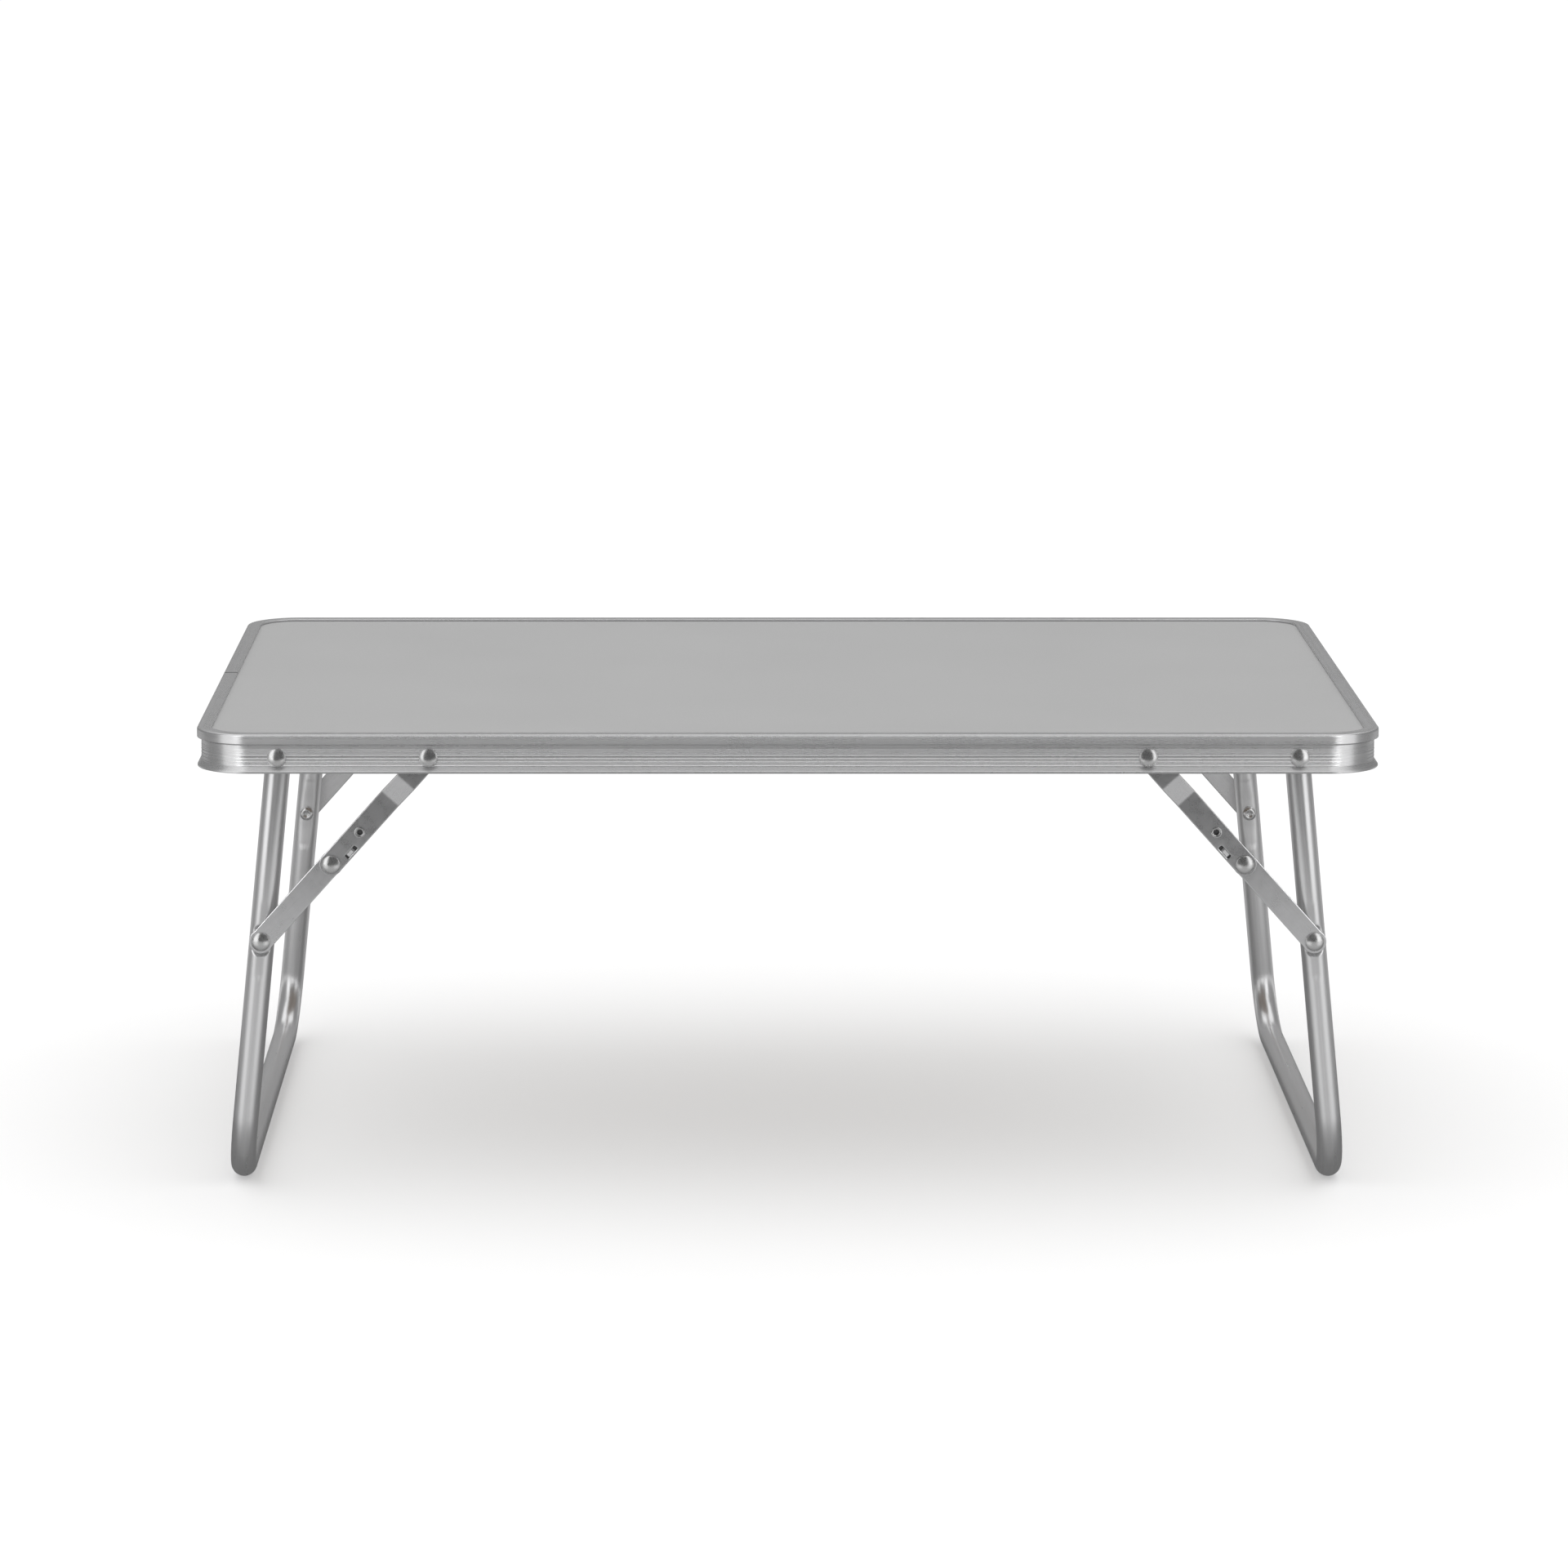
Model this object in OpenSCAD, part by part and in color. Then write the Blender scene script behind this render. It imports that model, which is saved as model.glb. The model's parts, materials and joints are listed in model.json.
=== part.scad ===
// Low folding camp table: a laminate top in a fluted aluminium rail, two U-shaped legs,
// and a two-link folding brace with a spring catch at each corner.
// Millimetres. +Z is up, the floor is z = 0, and the front is towards -Y.

/* [Table] */
// Overall length of the top along X
table_l = 600; // [520:5:700]
// Overall depth of the top along Y
table_w = 400; // [340:5:460]
// Height of the top above the floor
table_h = 240; // [220:2:280]
// Outer radius of the rail corners
corner_r = 28; // [20:1:36]

/* [Edge rail] */
// Height of the rail
rail_h = 20; // [19.5:0.5:22]
// Width of the lip that covers the panel edge
lip_w = 7.5; // [6.5:0.5:9]
// Thickness of the rail wall and lip
rail_wall = 1.2; // [1:0.1:1.4]
// Gap at the butt seam in the left side
seam_gap = 0.3; // [0.1:0.1:1]

/* [Panel] */
// Thickness of the laminate sheet
laminate_t = 0.8; // [0.5:0.1:1]
// Thickness of the hardboard core
core_t = 2.4; // [2:0.1:2.4]

/* [Legs] */
// Outside diameter of the leg tube
tube_d = 13; // [12:0.5:13]
// Wall of the leg tube
tube_wall = 1.2; // [1:0.1:1.5]
// Distance of the tube centrelines from the middle of the table
leg_half_span = 179.2; // [178:0.2:179.2]
// Distance of the leg pivots from the middle of the table
leg_pivot_x = 258; // [250:1:262]
// Outward lean of the open legs, in degrees
leg_lean = 5.8; // [4:0.2:8]
// Centreline radius of the bottom bends
bend_r = 32; // [28:1:40]

/* [Braces] */
// Distance from the leg pivot to the brace pivot in the rail
brace_pivot_gap = 76.5; // [74:0.5:80]
// Distance from the leg pivot to the brace rivet in the leg
leg_rivet_dist = 97.2; // [95:0.2:100]
// Width of the brace links
link_w = 11.7; // [11:0.1:12]
// Thickness of the brace links
link_t = 1.5; // [1.2:0.1:1.5]

/* [Fasteners] */
// Diameter of the domed rivet heads
head_d = 9.5; // [9:0.1:10]
// Height of the domed rivet heads
head_h = 2.6; // [2:0.1:2.7]
// Diameter of the rivet shanks
shank_d = 5; // [4.6:0.1:5.2]
// Radial clearance in every bore
clear = 0.05; // [0.03:0.01:0.08]

/* [Hidden] */
$fn = 48;
pivot_z = table_h - 12;
bore_d = shank_d + 2 * clear;
lift = 0.04;

// distances below the top surface
panel_top = rail_wall;
core_top = panel_top + laminate_t;
panel_bottom = core_top + core_t;
ledge_bottom = panel_bottom + 1;
web_in = 3.4;
web_out = web_in - rail_wall;
ridge_out = web_out - 0.35;
ridge_rows = [8.9, 10.5, 12.2, 14.3, 16.0];

// distances from the middle of the table, along Y
half_w = table_w / 2;
web_face = half_w - web_in;
rivet_seat = half_w - ridge_out + 0.02;
link_top_y = web_face - 2;
joggle = 4.5;
joggle_start = 17.8;
joggle_end = 29.1;
link_low_y = link_top_y - joggle;
lower_y = link_low_y - link_t - 1.6;
tube_out_y = leg_half_span + tube_d / 2;
tube_in_y = leg_half_span - tube_d / 2;

// the brace: straight when the leg is open, folded flat on itself when the leg is in
leg_rivet_dx = leg_rivet_dist * sin(leg_lean);
leg_rivet_dz = leg_rivet_dist * cos(leg_lean);
brace_l = sqrt(pow(brace_pivot_gap + leg_rivet_dx, 2) + pow(leg_rivet_dz, 2));
brace_angle = atan2(leg_rivet_dz, brace_pivot_gap + leg_rivet_dx);
upper_l = (brace_l + leg_rivet_dist - brace_pivot_gap) / 2;
lower_l = brace_l - upper_l;
brace_pivot_x = leg_pivot_x - brace_pivot_gap;

// the leg, from its pivot to the centre of the bottom bar
bar_drop = (pivot_z - tube_d / 2) / cos(leg_lean);
tube_end_r = 7.2;

// the catch, measured along the upper link from the rail pivot
catch_rivet_s = 53;
catch_root_s = 49;
window_s = 63.6;
window_z = -3.5;
leaf_t = 0.4;
leaf_y = link_low_y - 0.08 - leaf_t;

// ---- placing ----

// Puts a part made for the rear right corner at any corner: side -1 is left, end -1 is front
module at_corner(side, end) {
    mirror([side < 0 ? 1 : 0, 0, 0])
        mirror([0, end < 0 ? 1 : 0, 0])
            children();
}

module at_all_corners() {
    for (side = [-1, 1])
        for (end = [-1, 1])
            at_corner(side, end)
                children();
}

module at_both_ends(side) {
    for (end = [-1, 1])
        at_corner(side, end)
            children();
}

// The frame of a straight brace: X runs from the rail pivot towards the leg rivet
module along_brace(s = 0) {
    translate([brace_pivot_x, 0, pivot_z])
        rotate([0, brace_angle, 0])
            translate([s, 0, 0])
                children();
}

module at_leg_rivet() {
    translate([leg_pivot_x + leg_rivet_dx, 0, pivot_z - leg_rivet_dz])
        children();
}

// ---- turned parts, made along Z and laid along +Y ----

module lay_out(x, y, z) {
    translate([x, y, z])
        rotate([-90, 0, 0])
            children();
}

// A ring between two distances from the middle of the table
module ring(outer_d, inner_d, y0, y1, x = 0, z = 0) {
    lay_out(x, y0, z)
        difference() {
            cylinder(d = outer_d, h = y1 - y0);
            translate([0, 0, -1])
                cylinder(d = inner_d, h = y1 - y0 + 2);
        }
}

// A hole along Y between two distances from the middle of the table
module bore(d, y0, y1, x = 0, z = 0) {
    lay_out(x, y0, z)
        cylinder(d = d, h = y1 - y0);
}

// The curve of a low dome from its rim to its middle
function dome_points(r, h, steps) =
    let (big_r = (r * r + h * h) / (2 * h), sweep = asin(r / big_r))
    [for (i = [0 : steps])
        let (a = sweep * (1 - i / steps))
        [i == steps ? 0 : big_r * sin(a), big_r * cos(a) - big_r + h]];

// A domed rivet with its head seat at seat_y and its shank ending at end_y
module domed_rivet(seat_y, end_y, x = 0, z = 0) {
    rim = 0.35;
    lay_out(x, seat_y, z)
        rotate_extrude()
            polygon(concat(
                [[0, end_y - seat_y], [shank_d / 2, end_y - seat_y], [shank_d / 2, 0], [head_d / 2, 0]],
                [for (p = dome_points(head_d / 2, head_h - rim, 8)) [p[0], p[1] + rim]]
            ));
}

// The rolled end that closes a hollow rivet against its washer
module rolled_tail(y_face, length, x = 0, z = 0) {
    tail_d = 7.2;
    lay_out(x, y_face - length, z)
        rotate_extrude()
            polygon([
                [1.3, 0.35], [1.7, 0], [tail_d / 2 - 0.6, 0], [tail_d / 2, 0.5],
                [tail_d / 2, length], [0, length], [0, 0.9], [1.3, 0.9]
            ]);
}

// A rivet that is rolled over at its inboard end
module rolled_rivet(seat_y, tail_y, tail_l, x = 0, z = 0) {
    union() {
        domed_rivet(seat_y, tail_y - 0.1, x, z);
        rolled_tail(tail_y, tail_l, x, z);
    }
}

// ---- edge rail ----

// The rail's section: first value is the distance in from the outer face, second the depth
function ridge_points(row) = [
    [web_out, row - 0.4], [ridge_out, row - 0.12], [ridge_out, row + 0.12], [web_out, row + 0.4]
];
rail_section = concat(
    [[lip_w, 0], [0.8, 0], [0.22, 0.3], [0, 0.9], [0, 5.4], [0.5, 6.1], [web_out, 7]],
    [for (row = ridge_rows) each ridge_points(row)],
    [[web_out, 17.2], [0.3, rail_h - 1.5], [0.1, rail_h - 0.9], [0.8, rail_h], [3, rail_h],
     [web_in, rail_h - 0.5], [web_in, ledge_bottom], [lip_w, ledge_bottom],
     [lip_w, panel_bottom + lift], [web_in, panel_bottom + lift],
     [web_in, panel_top - lift], [lip_w, panel_top - lift]]
);

// A straight run of rail along Y, between y0 and y1, with its outer face at x = reach
module rail_run(reach, y0, y1) {
    translate([0, y1, 0])
        rotate([90, 0, 0])
            linear_extrude(height = y1 - y0)
                polygon([for (p = rail_section) [reach - p[0], table_h - p[1]]]);
}

module rail_corner() {
    translate([table_l / 2 - corner_r, table_w / 2 - corner_r, 0])
        rotate_extrude(angle = 90)
            polygon([for (p = rail_section) [corner_r - p[0], table_h - p[1]]]);
}

module edge_rail() {
    run_y = table_w / 2 - corner_r;
    run_x = table_l / 2 - corner_r;
    color("silver")
        difference() {
            union() {
                at_all_corners()
                    rail_corner();
                rail_run(table_l / 2, -run_y, run_y);
                mirror([1, 0, 0]) {
                    rail_run(table_l / 2, -run_y, -seam_gap / 2);
                    rail_run(table_l / 2, seam_gap / 2, run_y);
                }
                rotate([0, 0, 90])
                    rail_run(table_w / 2, -run_x, run_x);
                rotate([0, 0, -90])
                    rail_run(table_w / 2, -run_x, run_x);
            }
            at_all_corners()
                for (x = [leg_pivot_x, brace_pivot_x])
                    bore(bore_d, web_face - 2, half_w + 2, x, pivot_z);
            for (y = [-12, 12])
                translate([-table_l / 2 - 2, y, pivot_z])
                    rotate([0, 90, 0])
                        cylinder(d = 3.2 + 2 * clear, h = 8);
        }
}

// A plate behind the seam that holds the two rail ends in line
module rail_joiner() {
    color("silver")
        difference() {
            translate([-table_l / 2 + web_in + lift, -20, table_h - 17])
                cube([1.5, 40, 10.5]);
            for (y = [-12, 12])
                translate([-table_l / 2, y, pivot_z])
                    rotate([0, 90, 0])
                        cylinder(d = 3.2 + 2 * clear, h = 8);
        }
}

module rail_joiner_rivets() {
    color("gray")
        for (y = [-12, 12])
            translate([-table_l / 2 + web_in + lift + 1.5 + lift, y, pivot_z])
                rotate([0, 90, 0])
                    rotate_extrude()
                        polygon([
                            [0, 1.1], [1.6, 1.1], [2.6, 0.6], [3, 0], [1.6, 0],
                            [1.6, -2.6], [0, -2.6]
                        ]);
}

// ---- panel ----

module rounded_plate(inset, depth_top, depth_bottom) {
    l = table_l - 2 * inset;
    w = table_w - 2 * inset;
    r = corner_r - inset;
    steps = 8;
    translate([0, 0, table_h - depth_bottom])
        linear_extrude(height = depth_bottom - depth_top)
            polygon([
                for (q = [0 : 3])
                    for (i = [0 : steps])
                        let (a = 90 * q + 90 * i / steps)
                        [(q == 0 || q == 3 ? 1 : -1) * (l / 2 - r) + r * cos(a),
                         (q < 2 ? 1 : -1) * (w / 2 - r) + r * sin(a)]
            ]);
}

module top_laminate() {
    color("lightgray")
        rounded_plate(web_in + 0.3, panel_top, core_top);
}

module panel_core() {
    color("peru")
        rounded_plate(web_in + 0.3, core_top, panel_bottom);
}

// ---- fixed pivots in the rail ----

module leg_pivot_rivets() {
    color("silver")
        at_all_corners()
            rolled_rivet(rivet_seat, tube_in_y - 1.05, 1.2, leg_pivot_x, pivot_z);
}

module leg_pivot_spacers() {
    color("gray")
        at_all_corners()
            ring(9, bore_d, tube_out_y + lift, web_face - lift, leg_pivot_x, pivot_z);
}

module leg_pivot_washers() {
    color("gray")
        at_all_corners()
            ring(9, bore_d, tube_in_y - 1, tube_in_y - lift, leg_pivot_x, pivot_z);
}

module brace_pivot_rivets() {
    color("silver")
        at_all_corners()
            rolled_rivet(rivet_seat, link_top_y - lift, 1.2, brace_pivot_x, pivot_z);
}

module brace_pivot_washers() {
    color("gray")
        at_all_corners()
            ring(10, bore_d, link_top_y + link_t + lift, web_face - 0.01, brace_pivot_x, pivot_z);
}

// ---- legs ----

// The leg hangs from its pivot in its own plane: -Z runs down the leg
module leg_outline(d) {
    straight = bar_drop - bend_r;
    reach = leg_half_span;
    for (end = [-1, 1])
        translate([0, end * reach, -straight])
            cylinder(d = d, h = straight + tube_end_r + 1);
    for (end = [-1, 1])
        translate([0, end * (reach - bend_r), -straight])
            rotate([0, 90, 0])
                rotate([0, 0, end > 0 ? 0 : -90])
                    rotate_extrude(angle = 90)
                        translate([bend_r, 0])
                            circle(d = d);
    translate([0, reach - bend_r, -bar_drop])
        rotate([90, 0, 0])
            cylinder(d = d, h = 2 * (reach - bend_r));
}

// Everything above the pivot and outside the rounded tube end
module above_tube_ends() {
    difference() {
        translate([-20, -table_w / 2, 0])
            cube([40, table_w, 20]);
        translate([0, table_w / 2 + 1, 0])
            rotate([90, 0, 0])
                cylinder(r = tube_end_r, h = table_w + 2);
    }
}

module right_leg() {
    translate([leg_pivot_x, 0, pivot_z])
        rotate([0, -leg_lean, 0])
            difference() {
                leg_outline(tube_d);
                leg_outline(tube_d - 2 * tube_wall);
                above_tube_ends();
                for (z = [0, -leg_rivet_dist])
                    translate([0, table_w / 2, z])
                        rotate([90, 0, 0])
                            cylinder(d = bore_d, h = table_w);
            }
}

module left_leg_tube() {
    color("silver")
        mirror([1, 0, 0])
            right_leg();
}

module right_leg_tube() {
    color("silver")
        right_leg();
}

module leg_rivets(side) {
    color("silver")
        at_both_ends(side)
            at_leg_rivet()
                rolled_rivet(lower_y + link_t + lift, tube_in_y - 1.05, 1.2);
}

module leg_spacers(side) {
    color("gray")
        at_both_ends(side)
            at_leg_rivet()
                ring(9, bore_d, tube_out_y + lift, lower_y - lift);
}

module leg_washers(side) {
    color("gray")
        at_both_ends(side)
            at_leg_rivet()
                ring(7.8, bore_d, tube_in_y - 1, tube_in_y - lift);
}

module left_leg_rivets() { leg_rivets(-1); }
module right_leg_rivets() { leg_rivets(1); }
module left_leg_spacers() { leg_spacers(-1); }
module right_leg_spacers() { leg_spacers(1); }
module left_leg_washers() { leg_washers(-1); }
module right_leg_washers() { leg_washers(1); }

// ---- braces, drawn in the straight brace's own frame ----

// A bar with rounded ends, between y0 and y1
module link_bar(length, end_r, y0, y1) {
    bore(2 * end_r, y0, y1);
    bore(2 * (link_w / 2 + 0.25), y0, y1, length);
    translate([0, y0, -link_w / 2])
        cube([length, y1 - y0, link_w]);
}

// The cranked side view of the upper link, thickness along Y
module joggle_strip() {
    y0 = link_top_y;
    y1 = link_low_y;
    translate([0, 0, -10])
        linear_extrude(height = 20)
            polygon([
                [-10, y0], [joggle_start, y0], [joggle_end, y1], [upper_l + 10, y1],
                [upper_l + 10, y1 + link_t], [joggle_end + 0.4, y1 + link_t],
                [joggle_start + 0.4, y0 + link_t], [-10, y0 + link_t]
            ]);
}

module upper_link(side, end) {
    color("gray")
        at_corner(side, end)
            along_brace()
                difference() {
                    intersection() {
                        link_bar(upper_l, link_w / 2 + 0.4, link_low_y - 1, link_top_y + 3);
                        joggle_strip();
                    }
                    bore(bore_d, link_top_y - 1, link_top_y + 3);
                    bore(bore_d, link_low_y - 1, link_low_y + 3, upper_l);
                    bore(3 + 2 * clear, link_low_y - 1, link_low_y + 3, catch_rivet_s);
                    translate([window_s - 3.75, link_low_y - 1, window_z - 1.15])
                        cube([7.5, 4, 2.3]);
                }
}

module mid_rivet(side, end) {
    color("silver")
        at_corner(side, end)
            along_brace(upper_l)
                domed_rivet(link_low_y + link_t + lift, lower_y + link_t + 0.1);
}

module mid_washer(side, end) {
    color("gray")
        at_corner(side, end)
            along_brace(upper_l)
                ring(9.6, bore_d, lower_y + link_t + 0.06, link_low_y - 0.02);
}

// A short hollow rivet that holds the catch spring
module catch_rivet(side, end) {
    head_z = link_low_y + link_t + lift;
    color("silver")
        at_corner(side, end)
            along_brace(catch_rivet_s)
                lay_out(0, 0, 0)
                    rotate_extrude()
                        polygon([
                            [1.2, leaf_y - 0.9], [2.5, leaf_y - 0.9], [2.5, leaf_y - 0.4],
                            [1.5, leaf_y - 0.4], [1.5, head_z], [2.65, head_z],
                            [2.65, head_z + 0.35], [2.2, head_z + 0.7], [1.5, head_z + 0.6],
                            [1.2, head_z + 0.2]
                        ]);
}

// A leaf spring behind the upper link, with a thumb tab that fills part of the window
module catch_spring(side, end) {
    color("dimgray")
        at_corner(side, end)
            along_brace()
                difference() {
                    union() {
                        translate([catch_root_s, leaf_y, -3])
                            cube([66.5 - catch_root_s, leaf_t, 4.6]);
                        translate([window_s - 5, leaf_y, -5])
                            cube([7.9, leaf_t, 5]);
                        translate([window_s - 2.05, leaf_y + leaf_t / 2, window_z - 0.85])
                            cube([4.1, 1.6, 1.7]);
                    }
                    bore(3.6, leaf_y - 1, leaf_y + 1, catch_rivet_s);
                }
}

module lower_link(side, end) {
    color("gray")
        at_corner(side, end)
            along_brace(upper_l)
                difference() {
                    link_bar(lower_l, link_w / 2 + 0.25, lower_y, lower_y + link_t);
                    bore(bore_d, lower_y - 1, lower_y + 3);
                    bore(bore_d, lower_y - 1, lower_y + 3, lower_l);
                }
}

module mid_rivet_tail(side, end) {
    color("silver")
        at_corner(side, end)
            along_brace(upper_l)
                union() {
                    bore(shank_d, lower_y - 0.3, lower_y + link_t - 0.05);
                    rolled_tail(lower_y - lift, 0.9);
                }
}

// ---- the parts ----

top_laminate();
panel_core();
edge_rail();
rail_joiner();
rail_joiner_rivets();
leg_pivot_rivets();
leg_pivot_spacers();
leg_pivot_washers();
brace_pivot_rivets();
brace_pivot_washers();
left_leg_tube();
left_leg_rivets();
left_leg_spacers();
left_leg_washers();
right_leg_tube();
right_leg_rivets();
right_leg_spacers();
right_leg_washers();
upper_link(-1, -1);  // upper_link_front_left
upper_link(-1, 1);  // upper_link_rear_left
upper_link(1, -1);  // upper_link_front_right
upper_link(1, 1);  // upper_link_rear_right
mid_rivet(-1, -1);  // mid_rivet_front_left
mid_rivet(-1, 1);  // mid_rivet_rear_left
mid_rivet(1, -1);  // mid_rivet_front_right
mid_rivet(1, 1);  // mid_rivet_rear_right
mid_washer(-1, -1);  // mid_washer_front_left
mid_washer(-1, 1);  // mid_washer_rear_left
mid_washer(1, -1);  // mid_washer_front_right
mid_washer(1, 1);  // mid_washer_rear_right
catch_rivet(-1, -1);  // catch_rivet_front_left
catch_rivet(-1, 1);  // catch_rivet_rear_left
catch_rivet(1, -1);  // catch_rivet_front_right
catch_rivet(1, 1);  // catch_rivet_rear_right
catch_spring(-1, -1);  // catch_spring_front_left
catch_spring(-1, 1);  // catch_spring_rear_left
catch_spring(1, -1);  // catch_spring_front_right
catch_spring(1, 1);  // catch_spring_rear_right
lower_link(-1, -1);  // lower_link_front_left
lower_link(-1, 1);  // lower_link_rear_left
lower_link(1, -1);  // lower_link_front_right
lower_link(1, 1);  // lower_link_rear_right
mid_rivet_tail(-1, -1);  // mid_rivet_tail_front_left
mid_rivet_tail(-1, 1);  // mid_rivet_tail_rear_left
mid_rivet_tail(1, -1);  // mid_rivet_tail_front_right
mid_rivet_tail(1, 1);  // mid_rivet_tail_rear_right
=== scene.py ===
"""Looks for the folding side table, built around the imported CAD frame."""
import json
import math

import bmesh
import bpy
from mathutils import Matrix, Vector


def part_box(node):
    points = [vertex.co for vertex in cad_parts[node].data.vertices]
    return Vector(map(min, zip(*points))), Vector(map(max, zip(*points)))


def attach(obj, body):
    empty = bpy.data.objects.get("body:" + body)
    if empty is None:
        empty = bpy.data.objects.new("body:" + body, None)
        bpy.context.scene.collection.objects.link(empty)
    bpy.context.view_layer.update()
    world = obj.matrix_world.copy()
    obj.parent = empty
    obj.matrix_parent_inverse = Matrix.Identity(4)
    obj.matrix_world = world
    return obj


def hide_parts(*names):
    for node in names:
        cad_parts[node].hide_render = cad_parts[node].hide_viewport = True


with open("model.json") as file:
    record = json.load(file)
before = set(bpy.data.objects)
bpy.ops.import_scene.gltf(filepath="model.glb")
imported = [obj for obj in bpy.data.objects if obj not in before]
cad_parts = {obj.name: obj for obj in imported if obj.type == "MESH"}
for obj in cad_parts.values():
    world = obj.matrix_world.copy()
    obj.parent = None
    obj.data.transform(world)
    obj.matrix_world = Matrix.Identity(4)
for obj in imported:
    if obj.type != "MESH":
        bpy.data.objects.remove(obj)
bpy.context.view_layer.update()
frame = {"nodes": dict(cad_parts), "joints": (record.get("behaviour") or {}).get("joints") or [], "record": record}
MM = 0.001
CORNERS = [(side, end) for side in (-1, 1) for end in (-1, 1)]


# ---------------------------------------------------------------- places from the frame

def joint(name):
    """The frame's joint with that name."""
    return next(j for j in frame["joints"] if j["name"] == name)


def span(node):
    """Size of a CAD node's box at rest."""
    low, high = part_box(node)
    return high - low


def corner_name(side, end):
    """The name of the corner at that side (-1 left, 1 right) and end (-1 front, 1 rear)."""
    return ("rear" if end > 0 else "front") + ("_right" if side > 0 else "_left")


# Sizes that the frame's boxes and joints don't give.
CORNER_R = 28 * MM
LEG_SPAN = 179.2 * MM
HEAD_H = 2.6 * MM
WASHER_T = 1.0 * MM

# Places and sizes worked out from the frame.
RAIL_LOW, RAIL_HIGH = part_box("edge_rail")
TOP_Z = RAIL_HIGH.z
HALF_L = RAIL_HIGH.x
HALF_W = RAIL_HIGH.y
RAIL_H = TOP_Z - RAIL_LOW.z
LEG_PIVOT = Vector(joint("right_leg_fold")["pos_m"])
BRACE_PIVOT = Vector(joint("upper_brace_rear_right_turn")["pos_m"])
LEG_RIVET = Vector(joint("lower_brace_rear_right_turn")["pos_m"])
LEG_DIR = (LEG_RIVET - LEG_PIVOT).normalized()
LEG_DIR_SIDE = {1: LEG_DIR, -1: Vector((-LEG_DIR.x, 0, LEG_DIR.z))}
LEG_RIVET_DIST = (LEG_RIVET - LEG_PIVOT).length
BRACE_DIR = (LEG_RIVET - BRACE_PIVOT).normalized()
BRACE_L = (LEG_RIVET - BRACE_PIVOT).length
UPPER_L = (BRACE_L + LEG_RIVET_DIST - (LEG_PIVOT - BRACE_PIVOT).length) / 2
LOWER_L = BRACE_L - UPPER_L
MID_PIVOT = BRACE_PIVOT + BRACE_DIR * UPPER_L
TUBE_R = span("right_leg_tube").y / 2 - LEG_SPAN
BAR_DROP = (LEG_PIVOT.z - TUBE_R) / -LEG_DIR.z
LINK_T = span("lower_link_rear_right").y
LOWER_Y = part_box("lower_link_rear_right")[0].y
LINK_LOW_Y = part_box("upper_link_rear_right")[0].y
LINK_TOP_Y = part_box("upper_link_rear_right")[1].y - LINK_T
RIVET_SEAT_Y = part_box("leg_pivot_rivets")[1].y - HEAD_H
TUBE_TAIL_Y = LEG_SPAN - TUBE_R - WASHER_T


# ---------------------------------------------------------------- mesh helpers

FILLET_STEPS = 4
NO_LENGTH = 1e-7
WELD_DISTANCE = 1e-6


def mesh_object(name, build, sharp=35):
    """A new mesh object from build(bm), with smooth shading broken at sharp edges."""
    bm = bmesh.new()
    build(bm)
    bmesh.ops.recalc_face_normals(bm, faces=bm.faces)
    for face in bm.faces:
        face.smooth = True
    limit = math.radians(sharp)
    for edge in bm.edges:
        if len(edge.link_faces) == 2 and edge.calc_face_angle(0) > limit:
            edge.smooth = False
    mesh = bpy.data.meshes.new(name)
    bm.to_mesh(mesh)
    bm.free()
    obj = bpy.data.objects.new(name, mesh)
    bpy.context.scene.collection.objects.link(obj)
    level = obj.modifiers.new("level_faces", "WEIGHTED_NORMAL")
    level.keep_sharp = True
    return obj


def add_grid(bm, rows, u_values, v_values, closed_rows=False):
    """Joins rows of points into quads and writes the run and the girth, in metres, as the UV map."""
    layer = bm.loops.layers.uv.get("UVMap") or bm.loops.layers.uv.new("UVMap")
    verts = [[bm.verts.new(p) for p in row] for row in rows]
    count = len(rows[0])
    for i in range(len(rows) - 1):
        for k in range(count if closed_rows else count - 1):
            n = (k + 1) % count
            quad = (verts[i][k], verts[i][n], verts[i + 1][n], verts[i + 1][k])
            face = bm.faces.new(quad)
            v_next = v_values[k + 1]
            uvs = ((u_values[i], v_values[k]), (u_values[i], v_next),
                   (u_values[i + 1], v_next), (u_values[i + 1], v_values[k]))
            for loop, uv in zip(face.loops, uvs):
                loop[layer].uv = uv
    return verts


def girth(points):
    """Running length round a closed outline, with the closing value at the end."""
    out = [0.0]
    for a, b in zip(points, points[1:] + points[:1]):
        out.append(out[-1] + math.dist(a, b))
    return out


def fillet(corners, steps=FILLET_STEPS):
    """Rounds the corners of a closed outline of (x, y, radius) points."""
    out = []
    count = len(corners)
    for i, (x, y, radius) in enumerate(corners):
        here = Vector((x, y))
        before = Vector(corners[i - 1][:2]) - here
        after = Vector(corners[(i + 1) % count][:2]) - here
        half = before.angle(after) / 2
        room = 0.49 * min(before.length, after.length)
        reach = min(radius / math.tan(half), room)
        if reach < NO_LENGTH:
            out.append((x, y))
            continue
        before.normalize()
        after.normalize()
        real_r = reach * math.tan(half)
        centre = here + (before + after).normalized() * (real_r / math.sin(half))
        start = here + before * reach - centre
        finish = here + after * reach - centre
        turn = start.angle_signed(finish)
        for k in range(steps + 1):
            a = -turn * k / steps
            out.append((centre.x + start.x * math.cos(a) - start.y * math.sin(a),
                        centre.y + start.x * math.sin(a) + start.y * math.cos(a)))
    return out


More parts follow.
